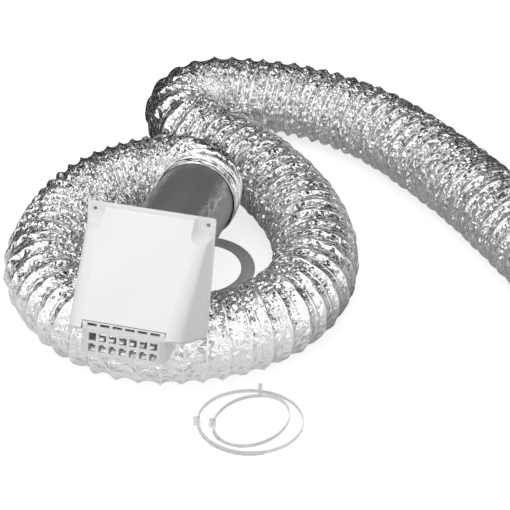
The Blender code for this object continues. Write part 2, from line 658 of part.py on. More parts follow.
# ---- wall ring -------------------------------------------------------------------------------
def build_wall_ring(mat):
    """Thin flat ring that closes the gap round the pipe where it goes through the wall."""
    bm = bmesh.new()
    edge = 0.3 * MM
    profile = [(RING_INNER_R, 0), (RING_OUTER_R, 0), (RING_OUTER_R, RING_THICK - edge),
               (RING_OUTER_R - edge, RING_THICK), (RING_INNER_R + edge, RING_THICK),
               (RING_INNER_R, RING_THICK - edge)]
    verts = [bm.verts.new((r, 0, z)) for r, z in profile]
    edges = [bm.edges.new((verts[i], verts[(i + 1) % len(verts)])) for i in range(len(verts))]
    bmesh.ops.spin(bm, geom=verts + edges, cent=(0, 0, 0), axis=(0, 0, 1), angle=2 * math.pi,
                   steps=PIPE_SEGMENTS, use_merge=True)
    bmesh.ops.remove_doubles(bm, verts=bm.verts[:], dist=0.00001)
    ring = add_object("wall_ring", bm, mat)
    ring.location = RING_CENTRE
    shade_round(ring)
    return ring


# ---- nylon ties --------------------------------------------------------------------------------
def tie_path(axes, turn, tail):
    """The strap's middle line: out of the head, once round, through the head, tail outside."""
    shift = TIE_THICK + TIE_TURN_GAP
    total = 360.0 + tail
    count = int(total / 7.5)
    path = []
    for i in range(count + 1):
        degrees = total * i / count
        angle = math.pi + math.radians(degrees)
        # The strap moves outward in the last part of its turn, to pass beside its start.
        ease = min(max((degrees - 250.0) / 90.0, 0.0), 1.0)
        out = shift * ease * ease * (3 - 2 * ease)
        a, b = axes
        flat = Vector((a * math.cos(angle - turn), b * math.sin(angle - turn), 0))
        normal = Vector((math.cos(angle - turn) / a, math.sin(angle - turn) / b, 0)).normalized()
        path.append(Matrix.Rotation(turn, 3, "Z") @ (flat + normal * out))
    return path


def strap(path, width, tip_steps=3):
    """Sweep a flat band standing on its edge; the free end narrows to a tip."""
    bm = bmesh.new()
    rings = []
    for i, point in enumerate(path):
        before, after = path[max(i - 1, 0)], path[min(i + 1, len(path) - 1)]
        along = (after - before).normalized()
        out = Vector((along.y, -along.x, 0)) * TIE_THICK / 2
        left = len(path) - 1 - i
        narrow = 0.25 * max(0, tip_steps - left) / tip_steps * width
        rings.append([bm.verts.new(point + out * s + Vector((0, 0, z)))
                      for s, z in ((-1, narrow), (1, narrow), (1, width - narrow), (-1, width - narrow))])
    for first, second in zip(rings, rings[1:]):
        for k in range(4):
            n = (k + 1) % 4
            bm.faces.new((first[k], first[n], second[n], second[k]))
    bm.faces.new(rings[0])
    bm.faces.new(reversed(rings[-1]))
    return bm


def build_tie(name, centre, axes, turn, tail, mat, tab=False):
    path = tie_path(axes, turn, tail)
    tie = add_object(name, strap(path, TIE_WIDTH), mat)
    # Head block at the strap's start, with a slot that the strap's other end runs through.
    start, ahead = path[0], path[1]
    passing = min(path[len(path) // 2:], key=lambda p: (p - start).length)
    along = (ahead - start).normalized()
    outward = Vector((along.y, -along.x, 0))
    if (passing - start).dot(outward) < 0:
        outward = -outward
    reach = (passing - start).dot(outward)
    frame = Matrix((along.to_4d(), outward.to_4d(), (0, 0, 1, 0), (0, 0, 0, 1))).transposed()
    frame.translation = start
    frame.col[3][3] = 1.0
    frame[3][0] = frame[3][1] = frame[3][2] = 0.0
    head = box((-TIE_HEAD_LENGTH / 2, -TIE_THICK / 2 - 1.0 * MM, 0),
               (TIE_HEAD_LENGTH / 2, TIE_HEAD_DEPTH - TIE_THICK, TIE_HEAD_HEIGHT), 0.8 * MM, "Z", 2)
    bmesh.ops.transform(head, matrix=frame, verts=head.verts[:])
    slot_half = TIE_THICK / 2 + TIE_SLOT_CLEARANCE
    slot = box((-TIE_HEAD_LENGTH, reach - slot_half, -1 * MM),
               (TIE_HEAD_LENGTH, reach + slot_half, TIE_WIDTH + TIE_SLOT_CLEARANCE))
    bmesh.ops.transform(slot, matrix=frame, verts=slot.verts[:])
    block = combine(solid(head), solid(slot), "DIFFERENCE")
    combine(tie, block, "UNION")
    if tab:
        far = max(path, key=lambda p: p.y)
        upright = box((far.x - TAB_WIDTH / 2, far.y - TIE_THICK / 2 - 0.2 * MM, 1 * MM),
                      (far.x + TAB_WIDTH / 2, far.y + TIE_THICK / 2 + 0.2 * MM, TAB_HEIGHT), 0.8 * MM, "Y", 2)
        combine(tie, solid(upright), "UNION")
    tie.location = centre
    shade_round(tie, 25)
    return tie


# ---- the whole kit -------------------------------------------------------------------------------
def centre_on_floor(tops):
    """Move the kit so that the origin lies under the middle of its outline."""
    bpy.context.view_layer.update()
    corners = [item.matrix_world @ v.co for item in bpy.data.objects if item.type == "MESH"
               for v in item.data.vertices]
    middle = Vector([(max(c[i] for c in corners) + min(c[i] for c in corners)) / 2 for i in range(2)] + [0])
    for item in tops:
        item.location -= middle
    bpy.context.view_layer.update()
    return middle


def build():
    clear_scene()
    foil = material("foil", (0.80, 0.80, 0.82), 0.28, 1.0)
    white = material("white_plastic", (0.86, 0.86, 0.85), 0.42)
    metal = material("grey_aluminium", (0.42, 0.42, 0.44), 0.35, 1.0)
    zinc = material("ring_metal", (0.55, 0.55, 0.56), 0.38, 1.0)
    nylon = material("nylon", (0.88, 0.88, 0.87), 0.35, 0.0, 0.8)
    ducts, pivot = build_duct(foil)
    frame = bpy.data.objects.new("hood_frame", None)
    bpy.context.scene.collection.objects.link(frame)
    frame.matrix_world = hood_matrix()
    build_hood(white, frame)
    build_tail_pipe(metal, frame)
    build_damper(white, frame)
    build_guard(white, frame)
    ring = build_wall_ring(zinc)
    large = build_tie("tie_large", LARGE_TIE_CENTRE, (LARGE_TIE_HALF_LENGTH, LARGE_TIE_HALF_WIDTH),
                      0.0, LARGE_TIE_TAIL, nylon)
    small = build_tie("tie_small", SMALL_TIE_CENTRE, (SMALL_TIE_HALF_LENGTH, SMALL_TIE_HALF_WIDTH),
                      SMALL_TIE_TURN, SMALL_TIE_TAIL, nylon, tab=True)
    middle = centre_on_floor([*ducts, frame, ring, large, small])
    hinge_y, hinge_z = flap_hinge()
    print("tail pivot", [round(c, 5) for c in Vector(pivot) - middle])
    print("damper pivot", [round(c, 5) for c in frame.matrix_world @ Vector((0, hinge_y, hinge_z))])
    print("shift", [round(c, 5) for c in middle])


build()
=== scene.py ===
"""Foil dryer duct kit in a plain pale studio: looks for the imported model."""
import math

import bmesh
import bpy
import numpy as np
from mathutils import Euler, Matrix, Vector


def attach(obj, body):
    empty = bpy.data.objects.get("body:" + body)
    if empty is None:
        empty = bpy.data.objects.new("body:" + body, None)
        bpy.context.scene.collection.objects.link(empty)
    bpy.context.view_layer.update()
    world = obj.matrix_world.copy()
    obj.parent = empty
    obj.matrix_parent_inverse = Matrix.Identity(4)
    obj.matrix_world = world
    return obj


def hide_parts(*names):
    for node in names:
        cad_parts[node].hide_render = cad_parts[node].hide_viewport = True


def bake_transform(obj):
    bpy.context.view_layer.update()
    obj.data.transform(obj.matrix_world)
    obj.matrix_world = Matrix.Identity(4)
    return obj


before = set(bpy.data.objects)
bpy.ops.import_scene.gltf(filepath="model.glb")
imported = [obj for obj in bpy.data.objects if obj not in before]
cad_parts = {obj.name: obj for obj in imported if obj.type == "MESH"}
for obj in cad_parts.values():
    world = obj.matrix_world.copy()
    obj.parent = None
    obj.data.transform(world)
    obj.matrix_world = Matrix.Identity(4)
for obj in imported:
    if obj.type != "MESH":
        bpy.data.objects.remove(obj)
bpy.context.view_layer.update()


def add_node(tree, kind, values=None, **settings):
    """A node with its settings, and its sockets set to values or linked to sockets."""
    node = tree.nodes.new(kind)
    for key, value in settings.items():
        setattr(node, key, value)
    for key, value in (values or {}).items():
        if isinstance(value, bpy.types.NodeSocket):
            tree.links.new(value, node.inputs[key])
        else:
            node.inputs[key].default_value = value
    return node


def calc(tree, operation, *values):
    """A Math node's result."""
    return add_node(tree, "ShaderNodeMath", dict(enumerate(values)), operation=operation).outputs[0]


def vector_calc(tree, operation, *values):
    """A Vector Math node's result: a number for a product, distance or length, else a vector."""
    node = add_node(tree, "ShaderNodeVectorMath", dict(enumerate(values)), operation=operation)
    return node.outputs["Value" if operation in ("DOT_PRODUCT", "DISTANCE", "LENGTH") else "Vector"]


def ramp(tree, value, low, high, start=0.0, end=1.0, ease=False):
    """Spread what lies between low and high over start to end, evenly or eased at both ends."""
    return add_node(tree, "ShaderNodeMapRange", {0: value, 1: low, 2: high, 3: start, 4: end},
                    interpolation_type="SMOOTHSTEP" if ease else "LINEAR").outputs[0]


def seen_straight(tree):
    """1 for what the camera sees by itself, through a clear piece or in a bright one."""
    rays = add_node(tree, "ShaderNodeLightPath").outputs
    clear = calc(tree, "MAXIMUM", rays["Is Camera Ray"], rays["Is Transmission Ray"])
    return calc(tree, "MAXIMUM", clear, rays["Is Glossy Ray"])


scene = bpy.context.scene
scene.view_settings.view_transform = "Standard"

lens = bpy.data.cameras.new("camera")
lens.sensor_width = 36.0
lens.lens = 105.88
camera = bpy.data.objects.new("camera", lens)
outline_middle = Vector((0.134897, -0.042868, 0.0))
camera.location = Vector((0.0, -1.6184, 1.2419)) - outline_middle
camera.rotation_euler = (math.radians(52.5), 0, 0)
scene.collection.objects.link(camera)
scene.camera = camera

room = bpy.data.worlds.new("room")
room.use_nodes = True
scene.world = room
tree = room.node_tree
tree.nodes.clear()
soft = add_node(tree, "ShaderNodeBackground", {"Color": (1, 1, 1, 1), "Strength": 0.70})
plain = add_node(tree, "ShaderNodeBackground", {"Color": (1, 1, 1, 1), "Strength": 1.0})
mix = add_node(tree, "ShaderNodeMixShader", {0: seen_straight(tree), 1: soft.outputs[0], 2: plain.outputs[0]})
add_node(tree, "ShaderNodeOutputWorld", {0: mix.outputs[0]})


def soft_box(name, place, aim, size, watts):
    """A rectangular studio light at a place, turned to what it lights."""
    light = bpy.data.lights.new(name, "AREA")
    light.shape = "RECTANGLE"
    light.size, light.size_y = size
    light.energy = watts
    lamp = bpy.data.objects.new(name, light)
    lamp.location = place
    lamp.rotation_euler = (Vector(aim) - Vector(place)).to_track_quat("-Z", "Y").to_euler()
    scene.collection.objects.link(lamp)


soft_box("soft_box_over", (-0.5, -0.7, 1.9), (0, 0, 0), (1.6, 1.2), 11)
soft_box("soft_box_left", (-2.0, -0.9, 1.0), (0, 0, 0.1), (1.0, 1.2), 3)
soft_box("soft_box_right", (1.9, -1.0, 0.8), (0, 0, 0.1), (1.0, 1.0), 2.5)

sheet_mesh = bpy.data.meshes.new("pale_sheet")
square = ((-1, -1), (1, -1), (1, 1), (-1, 1))
sheet_reach = 6
sheet_mesh.from_pydata([(x * sheet_reach, y * sheet_reach, 0) for x, y in square], [], [(0, 1, 2, 3)])
sheet = bpy.data.objects.new("pale_sheet", sheet_mesh)
scene.collection.objects.link(sheet)
paper = bpy.data.materials.new("pale_paper")
paper.use_nodes = True
tree = paper.node_tree
tree.nodes.clear()
grain = add_node(tree, "ShaderNodeTexNoise",
                 {"Vector": add_node(tree, "ShaderNodeTexCoord").outputs["Object"], "Scale": 60.0})
tone = ramp(tree, grain.outputs[0], 0.0, 1.0, 0.49, 0.51)
matt = add_node(tree, "ShaderNodeBsdfDiffuse", {"Color": tone})
paper_glow = 0.72
lit = add_node(tree, "ShaderNodeEmission", {"Color": (1, 1, 1, 1), "Strength": paper_glow})
shine = add_node(tree, "ShaderNodeMixShader", {0: seen_straight(tree), 2: lit.outputs[0]})
both = add_node(tree, "ShaderNodeAddShader", {0: matt.outputs[0], 1: shine.outputs[0]})
add_node(tree, "ShaderNodeOutputMaterial", {0: both.outputs[0]})
sheet_mesh.materials.append(paper)


# A card seen only in reflections, glowing though it is no lamp: what it shows is painted reflection.
def painted_reflection_card(name, corners, faces):
    mesh = bpy.data.meshes.new(name)
    mesh.from_pydata(corners, [], faces)
    card = bpy.data.objects.new(name, mesh)
    scene.collection.objects.link(card)
    card.visible_camera = card.visible_diffuse = card.visible_shadow = False
    card.visible_transmission = card.visible_volume_scatter = False
    skin = bpy.data.materials.new(name)
    skin.use_nodes = True
    mesh.materials.append(skin)
    skin.node_tree.nodes.clear()
    return skin.node_tree


def glow(tree, strength):
    """Make a card glow by itself, so strongly; it lights nothing, and what it shows in the metal is painted
    reflection.
    """
    lamp = add_node(tree, "ShaderNodeEmission", {"Strength": strength})
    add_node(tree, "ShaderNodeOutputMaterial", {0: lamp.outputs[0]})


# The dome is seen only in the metal, as a painted reflection: white overhead and in front, and dark low down
# behind.
card_reach = 2.6
across, up = 36, 12
slopes = [math.pi / 2 * i / up for i in range(up)]
rounds = [2 * math.pi * k / across for k in range(across)]
dome = [(card_reach * math.cos(e) * math.cos(a), card_reach * math.cos(e) * math.sin(a),
         card_reach * math.sin(e)) for e in slopes for a in rounds]
dome.append((0.0, 0.0, card_reach))
panes = []
for i in range(up - 1):
    for k in range(across):
        n = (k + 1) % across
        panes.append((i * across + k, i * across + n, (i + 1) * across + n, (i + 1) * across + k))
panes += [((up - 1) * across + k, (up - 1) * across + (k + 1) % across, up * across) for k in range(across)]
tree = painted_reflection_card("dome_card", dome, panes)
towards = vector_calc(tree, "NORMALIZE", add_node(tree, "ShaderNodeTexCoord").outputs["Object"])
back_right, back_left = (0.26, 0.966, 0.0), (-0.25, 0.968, 0.0)
behind = calc(tree, "MAXIMUM", vector_calc(tree, "DOT_PRODUCT", towards, back_right),
              vector_calc(tree, "DOT_PRODUCT", towards, back_left))
behind = ramp(tree, behind, 0.15, 0.50, ease=True)
height = add_node(tree, "ShaderNodeSeparateXYZ", {0: towards}).outputs["Z"]
under = ramp(tree, height, 0.66, 0.92, 1.0, 0.0, ease=True)
tone = calc(tree, "SUBTRACT", 1.0, calc(tree, "MULTIPLY", calc(tree, "MULTIPLY", behind, under), 0.985))
glow(tree, calc(tree, "MULTIPLY", tone, ramp(tree, height, 0.0, 0.30, 0.85, 1.08)))

# The card on the sheet is seen only in the metal, as a painted reflection of the floor: grey inside the loop,
# where it paints the floor's shade, nearly black beyond it and far left, and as bright as the paper in front.
card_height = 0.0008
tree = painted_reflection_card("sheet_card", [(x * card_reach, y * card_reach, card_height) for x, y in square],
                     [(0, 1, 2, 3)])
on_card = add_node(tree, "ShaderNodeTexCoord").outputs["Object"]
place = add_node(tree, "ShaderNodeSeparateXYZ", {0: on_card}).outputs
loop_middle = (-0.17, -0.02, 0.0)
from_loop = vector_calc(tree, "DISTANCE", on_card, loop_middle)
beyond = ramp(tree, from_loop, 0.40, 0.48, ease=True)
left = ramp(tree, place["X"], -0.12, -0.25, ease=True)
back = ramp(tree, place["Y"], 0.02, 0.15, ease=True)
dark = calc(tree, "MAXIMUM", beyond, calc(tree, "MULTIPLY", left, back))
inside = ramp(tree, from_loop, 0.15, 0.27, 0.14, 0.30, ease=True)
shade = ramp(tree, dark, 0.0, 1.0, inside, 0.03)
front = ramp(tree, place["Y"], -0.10, -0.26, ease=True)
beside = ramp(tree, place["X"], -0.34, -0.42, ease=True)
beside = calc(tree, "MULTIPLY", beside, calc(tree, "SUBTRACT", 1.0, back))
glow(tree, ramp(tree, calc(tree, "MAXIMUM", front, beside), 0.0, 1.0, shade, paper_glow))


# ---- foil duct ---------------------------------------------------------------------
# Eight feet of thin foil and film laminate wound over one steel wire helix. It lies in
# one loop with a free tail. The foil hangs in between the turns and is finely crumpled.
duct_length = 2.438
crest_radius = 0.056
bore_radius = 0.0512
mouth_flare = 0.0018
# The solid duct has twelve flats, which lie at this share of its corners' distance from the axis.
flat_share = math.cos(math.pi / 12)
sinks_in = 0.0005
axis_height = crest_radius * flat_share - sinks_in
loop_end = 1.56309
hood_place = (Matrix.Translation(Vector((-0.1226, -0.254, 0.1745)) - outline_middle)
              @ Euler((math.radians(-14.7), 0, math.radians(-11.5))).to_matrix().to_4x4())
mouth_distance = 0.228
raised = [(-72.6, 13.1, 105.5), (-80.9, 36, 99.5), (-97.0, 54, 94), (-118.5, 64, 89.5),
          (-143, 66.5, 85), (-170, 63, 79.5), (-197, 55, 73), (-221.5, 40, 65.5), (-241, 17.5, 59),
          (-255, -11, axis_height * 1000 + 0.8)]
flat = [(-263.5, -44), (-268, -80), (-263.5, -117), (-243.5, -158), (-204, -204), (-147, -234),
        (-84.6, -238), (-18, -220), (36.5, -181), (70.5, -126), (78.5, -60), (64.6, 16), (29.5, 91),
        (-14, 152), (-58, 199), (-94.5, 236.5), (-105.6, 257.5), (-107.7, 281), (-100.7, 303.7),
        (-86, 321.5), (-65.2, 332.3), (-41.5, 334.5), (-2, 329), (52.8, 316), (126.5, 280), (190, 227),
        (248.4, 151.5), (299, 75), (343, -9), (384, -95), (419, -186), (449, -273), (493, -352)]
route = [hood_place @ Vector((0, mouth_distance + step, 0)) for step in (0, 0.014, 0.028)]
route += [Vector(p) * 0.001 - outline_middle for p in raised]
route += [Vector((x * 0.001, y * 0.001, axis_height)) - outline_middle for x, y in flat]


def smooth_route(points, per_span=16):
    """A centripetal spline through the route's points."""
    pts = [np.array(p) for p in points]
    pts = [2 * pts[0] - pts[1]] + pts + [2 * pts[-1] - pts[-2]]
    curve = []
    for i in range(1, len(pts) - 2):
        p0, p1, p2, p3 = pts[i - 1:i + 3]
        a, b, c = (np.linalg.norm(q - p) ** 0.5 for p, q in ((p0, p1), (p1, p2), (p2, p3)))
        m1 = ((p1 - p0) / a - (p2 - p0) / (a + b) + (p2 - p1) / b) * b
        m2 = ((p2 - p1) / b - (p3 - p1) / (b + c) + (p3 - p2) / c) * b
        for k in range(per_span):
            t = k / per_span
            curve.append((2 * t**3 - 3 * t**2 + 1) * p1 + (t**3 - 2 * t**2 + t) * m1
                         + (3 * t**2 - 2 * t**3) * p2 + (t**3 - t**2) * m2)
    curve.append(pts[-2])
    return np.array(curve)


axis_line = smooth_route(route)
last_step = (axis_line[-1] - axis_line[-2]) / np.linalg.norm(axis_line[-1] - axis_line[-2])
axis_line = np.vstack([axis_line, [axis_line[-1] + last_step * 0.02 * (i + 1) for i in range(12)]])
axis_length = np.r_[0, np.cumsum(np.linalg.norm(np.diff(axis_line, axis=0), axis=1))]


def on_axis(s):
    """Positions on the duct's axis at lengths s from its mouth."""
    return np.stack([np.interp(s, axis_length, axis_line[:, i]) for i in range(3)], axis=1)


# Ring stations: close together at the mouth and after it, where the turns are pushed together.
grip_end, packed_end = 0.05, 0.36
stations = np.r_[np.arange(0, grip_end, 0.0012), np.linspace(grip_end, packed_end, 172)[:-1],
                 np.linspace(packed_end, loop_end, 463)[:-1], np.linspace(loop_end, duct_length, 346)]
centres = on_axis(stations)
near = 0.012
ahead, behind = on_axis(stations + near), on_axis(np.maximum(stations - near, 0))
step_on, step_back = ahead - centres, centres - behind
bend = (step_on / np.linalg.norm(step_on, axis=1)[:, None]
        - step_back / np.maximum(np.linalg.norm(step_back, axis=1), 1e-6)[:, None]) / near
bend[stations < near] = 0
bend[stations > duct_length - near] = 0
axis_mesh = bpy.data.meshes.new("duct_axis")
axis_mesh.from_pydata([tuple(p) for p in centres], [(i, i + 1) for i in range(len(centres) - 1)], [])
axis_mesh.attributes.new("bend", "FLOAT_VECTOR", "POINT").data.foreach_set(
    "vector", bend.astype(np.float32).ravel())
axis_mesh.attributes.new("along", "FLOAT", "POINT").data.foreach_set(
    "value", stations.astype(np.float32))


def geometry_tree(name, inputs):
    """A Geometry Nodes tree with named inputs; returns it, its input and output nodes."""
    tree = bpy.data.node_groups.new(name, "GeometryNodeTree")
    tree.interface.new_socket("Geometry", in_out="INPUT", socket_type="NodeSocketGeometry")
    for label, kind in inputs.items():
        tree.interface.new_socket(label, in_out="INPUT", socket_type="NodeSocket" + kind)
    tree.interface.new_socket("Geometry", in_out="OUTPUT", socket_type="NodeSocketGeometry")
    return tree, add_node(tree, "NodeGroupInput"), add_node(tree, "NodeGroupOutput")


def made_by(tree, name, source, values):
    """Run a tree on a mesh, or on nothing, and return the finished mesh as an object."""
    item = bpy.data.objects.new(name, source if source else bpy.data.meshes.new(name))
    scene.collection.objects.link(item)
    run = item.modifiers.new("shape", "NODES")
    run.node_group = tree
    for socket in tree.interface.items_tree:
        if socket.in_out == "INPUT" and socket.name in values:
            run[socket.identifier] = values[socket.name]
    graph = bpy.context.evaluated_depsgraph_get()
    mesh = bpy.data.meshes.new_from_object(item.evaluated_get(graph))
    item.modifiers.clear()
    item.data = mesh
    mesh.name = name
    return item


tree, given, result = geometry_tree("ribbed_foil", {
    "Sides": "Int", "Crest Radius": "Float", "Bore Radius": "Float", "Sag": "Float", "Pitch": "Float",
    "Mouth Length": "Float", "Mouth Pitch": "Float", "Mouth Flare": "Float", "Packed Length": "Float",
    "Packed Pitch": "Float", "Wire Radius": "Float", "Crumple Size": "Float", "Crumple Depth": "Float",
    "Flattening": "Float", "Lining": "Float", "Length": "Float", "From": "Float", "To": "Float",
    "Foil": "Material"})
size = given.outputs
line = add_node(tree, "GeometryNodeMeshToCurve", {0: size["Geometry"]})
line = add_node(tree, "GeometryNodeSetCurveNormal", {0: line.outputs[0]}, mode="Z_UP")
held = add_node(tree, "GeometryNodeCaptureAttribute", {0: line.outputs[0]})
for kind, label in (("VECTOR", "Centre"), ("VECTOR", "Bend"), ("FLOAT", "Along")):
    held.capture_items.new(kind, label)
tree.links.new(add_node(tree, "GeometryNodeInputPosition").outputs[0], held.inputs["Centre"])
tree.links.new(add_node(tree, "GeometryNodeInputNamedAttribute", {"Name": "bend"},
                        data_type="FLOAT_VECTOR").outputs["Attribute"], held.inputs["Bend"])
tree.links.new(add_node(tree, "GeometryNodeInputNamedAttribute", {"Name": "along"},
                        data_type="FLOAT").outputs["Attribute"], held.inputs["Along"])
centre, curl, along = held.outputs["Centre"], held.outputs["Bend"], held.outputs["Along"]

ring = add_node(tree, "GeometryNodeCurvePrimitiveCircle",
                {"Resolution": size["Sides"], "Radius": size["Crest Radius"]})
turn = calc(tree, "DIVIDE", add_node(tree, "GeometryNodeInputIndex").outputs[0], size["Sides"])
held_ring = add_node(tree, "GeometryNodeCaptureAttribute", {0: ring.outputs[0]})
held_ring.capture_items.new("FLOAT", "Turn")
tree.links.new(turn, held_ring.inputs["Turn"])
turn = held_ring.outputs["Turn"]
tube = add_node(tree, "GeometryNodeCurveToMesh", {0: held.outputs[0], 1: held_ring.outputs[0]})
# The lining is the same tube a little smaller, seen only inside the two cut ends.
from_mouth = calc(tree, "LESS_THAN", along, size["Lining"])
from_tail = calc(tree, "GREATER_THAN", along, calc(tree, "SUBTRACT", size["Length"], size["Lining"]))
away = calc(tree, "LESS_THAN", calc(tree, "ADD", from_mouth, from_tail), 0.5)
inside = add_node(tree, "GeometryNodeDeleteGeometry", {0: tube.outputs[0], 1: away}, domain="FACE")
inside = add_node(tree, "GeometryNodeFlipFaces", {0: inside.outputs[0]})

place = add_node(tree, "GeometryNodeInputPosition").outputs[0]
out = vector_calc(tree, "NORMALIZE", vector_calc(tree, "SUBTRACT", place, centre))
angle = calc(tree, "MULTIPLY", turn, 2 * math.pi)
lay = add_node(tree, "ShaderNodeCombineXYZ", {
    0: calc(tree, "MULTIPLY", calc(tree, "COSINE", angle), size["Crest Radius"]),
    1: calc(tree, "MULTIPLY", calc(tree, "SINE", angle), size["Crest Radius"]), 2: along}).outputs[0]
# Wire helix: whole numbers of the phase are the crests over the wire.
phase = calc(tree, "DIVIDE", calc(tree, "MINIMUM", along, size["Mouth Length"]), size["Mouth Pitch"])
packed = calc(tree, "MAXIMUM", calc(tree, "SUBTRACT", along, size["Mouth Length"]), 0.0)
free = calc(tree, "MAXIMUM", calc(tree, "SUBTRACT", packed, size["Packed Length"]), 0.0)
packed = calc(tree, "MINIMUM", packed, size["Packed Length"])
phase = calc(tree, "ADD", phase, calc(tree, "DIVIDE", packed, size["Packed Pitch"]))
phase = calc(tree, "ADD", calc(tree, "ADD", phase, calc(tree, "DIVIDE", free, size["Pitch"])), turn)
off_wire = calc(tree, "PINGPONG", phase, 0.5)
hang = calc(tree, "POWER", calc(tree, "SUBTRACT", 1.0, calc(tree, "MULTIPLY", off_wire, 2.0)), 2.5)
hang = calc(tree, "MULTIPLY", calc(tree, "SUBTRACT", 1.0, hang), size["Sag"])
mouth = ramp(tree, along, 0.012, grip_end, ease=True)
hang = calc(tree, "MULTIPLY", hang, calc(tree, "ADD", calc(tree, "MULTIPLY", mouth, 0.72), 0.28))
# The far stretch is drawn out, so its foil is tighter between the turns.
hang = calc(tree, "MULTIPLY", hang, ramp(tree, along, 1.58, 1.85, 1.0, 0.42))
# So is the loop's right side, which slackens again behind.
right_side = ramp(tree, along, 0.66, 0.80, 1.0, 0.6)
again_slack = ramp(tree, along, 1.12, 1.26, 0.0, 0.4)
hang = calc(tree, "MULTIPLY", hang, calc(tree, "ADD", right_side, again_slack))
wire = calc(tree, "MULTIPLY", off_wire, size["Pitch"])
wire = ramp(tree, wire, 0.0, size["Wire Radius"], 1.0, 0.0, ease=True)
# Slack foil on the inside of a bend crumples; taut foil on its outside is smooth.
pull = calc(tree, "MULTIPLY", vector_calc(tree, "DOT_PRODUCT", out, curl), size["Crest Radius"])
slack = ramp(tree, pull, -0.35, 0.25, 0.25, 1.0, ease=True)
free_foil = ramp(tree, off_wire, 0.02, 0.2, ease=True)
folds = add_node(tree, "ShaderNodeTexVoronoi",
                 {"Vector": lay, "Scale": calc(tree, "DIVIDE", 1.0, size["Crumple Size"])},
                 feature="DISTANCE_TO_EDGE").outputs["Distance"]
wave_scale = calc(tree, "DIVIDE", 0.8, size["Crumple Size"])
waves = add_node(tree, "ShaderNodeTexNoise", {"Vector": lay, "Scale": wave_scale, "Detail": 2.0}).outputs[0]
crumple = calc(tree, "SUBTRACT", calc(tree, "ADD", calc(tree, "MULTIPLY", folds, 1.4), waves), 0.9)
crumple = calc(tree, "MULTIPLY", calc(tree, "MULTIPLY", crumple, size["Crumple Depth"]),
               calc(tree, "MULTIPLY", slack, free_foil))
reach = calc(tree, "SUBTRACT", size["Crest Radius"], hang)
reach = calc(tree, "ADD", calc(tree, "ADD", reach, calc(tree, "MULTIPLY", wire, 0.0005)), crumple)
# The mouth is stretched over the tailpipe, its turns drawn in close to it.
flare = ramp(tree, along, 0.038, 0.060, size["Mouth Flare"], 0.0, ease=True)
reach = calc(tree, "SUBTRACT", reach, calc(tree, "MULTIPLY", calc(tree, "SUBTRACT", 1.0, mouth), 0.0013))
bore = calc(tree, "ADD", size["Bore Radius"], flare)
# At each cut end the outer skin turns in to the lining.
end = calc(tree, "MINIMUM", along, calc(tree, "SUBTRACT", size["Length"], along))
rim = ramp(tree, end, 0.0, 0.002, ease=True)
reach = calc(tree, "ADD", calc(tree, "MULTIPLY", reach, rim),
             calc(tree, "MULTIPLY", bore, calc(tree, "SUBTRACT", 1.0, rim)))


def laid(skin, radius):
    """Push a tube's points out to a radius, a little flattened, and never under the floor."""
    spread = add_node(tree, "ShaderNodeVectorMath", {0: out, "Scale": radius}, operation="SCALE").outputs[0]
    low = add_node(tree, "ShaderNodeCombineXYZ", {0: 1.0, 1: 1.0, 2: size["Flattening"]}).outputs[0]
    moved = vector_calc(tree, "MULTIPLY_ADD", spread, low, centre)
    parts = add_node(tree, "ShaderNodeSeparateXYZ", {0: moved}).outputs
    above_floor = calc(tree, "MAXIMUM", parts[2], 0.0002)
    rested = add_node(tree, "ShaderNodeCombineXYZ", {0: parts[0], 1: parts[1], 2: above_floor}).outputs[0]
    return add_node(tree, "GeometryNodeSetPosition", {0: skin, "Position": rested}).outputs[0]


def keep(skin, name, value, kind="FLOAT"):
    """Store a value on the foil's points, for its material to read."""
    return add_node(tree, "GeometryNodeStoreNamedAttribute", {0: skin, "Name": name, "Value": value},
                    data_type=kind, domain="POINT").outputs[0]


both = add_node(tree, "GeometryNodeJoinGeometry", {0: laid(tube.outputs[0], reach)})
tree.links.new(laid(inside.outputs[0], bore), both.inputs[0])
# On the inside of the tightest bend the folds are pressed flat again.
slack = calc(tree, "MULTIPLY", slack, ramp(tree, pull, 0.35, 0.75, 1.0, 0.35, ease=True))
turn_and_phase = add_node(tree, "ShaderNodeCombineXYZ", {0: calc(tree, "PINGPONG", turn, 0.5), 1: phase})
both = keep(both.outputs[0], "foil_place", lay, "FLOAT_VECTOR")
both = keep(both, "foil_slack", slack)
both = keep(both, "foil_turn", turn_and_phase.outputs[0], "FLOAT_VECTOR")
both = keep(both, "foil_wire", off_wire)
outside = calc(tree, "ADD", calc(tree, "LESS_THAN", along, size["From"]),
               calc(tree, "GREATER_THAN", along, size["To"]))
both = add_node(tree, "GeometryNodeDeleteGeometry", {0: both, 1: outside}, domain="FACE")
both = add_node(tree, "GeometryNodeMergeByDistance", {0: both.outputs[0], "Distance": 0.00001})
both = add_node(tree, "GeometryNodeSetShadeSmooth", {0: both.outputs[0]})
both = add_node(tree, "GeometryNodeSetMaterial", {0: both.outputs[0], "Material": size["Foil"]})
both = add_node(tree, "GeometryNodeRealizeInstances", {0: both.outputs[0]})
tree.links.new(both.outputs[0], result.inputs[0])


def surface_group(name, sizes, results):
    """A shader node group that takes a place and named sizes; returns it and its inputs."""
    group = bpy.data.node_groups.new(name, "ShaderNodeTree")
    group.interface.new_socket("Vector", in_out="INPUT", socket_type="NodeSocketVector")
    for label in sizes:
        group.interface.new_socket(label, in_out="INPUT", socket_type="NodeSocketFloat")
    for label in results:
        group.interface.new_socket(label, in_out="OUTPUT", socket_type="NodeSocketFloat")
    return group, add_node(group, "NodeGroupInput").outputs


def bump(tree, height):
    """Raise a material's skin by a height in metres, over what raises it already."""
    normal = tree.nodes["Principled BSDF"].inputs["Normal"]
    values = {"Height": height, "Distance": 1.0, "Strength": 1.0}
    if normal.links:
        values["Normal"] = normal.links[0].from_socket
    tree.links.new(add_node(tree, "ShaderNodeBump", values).outputs[0], normal)


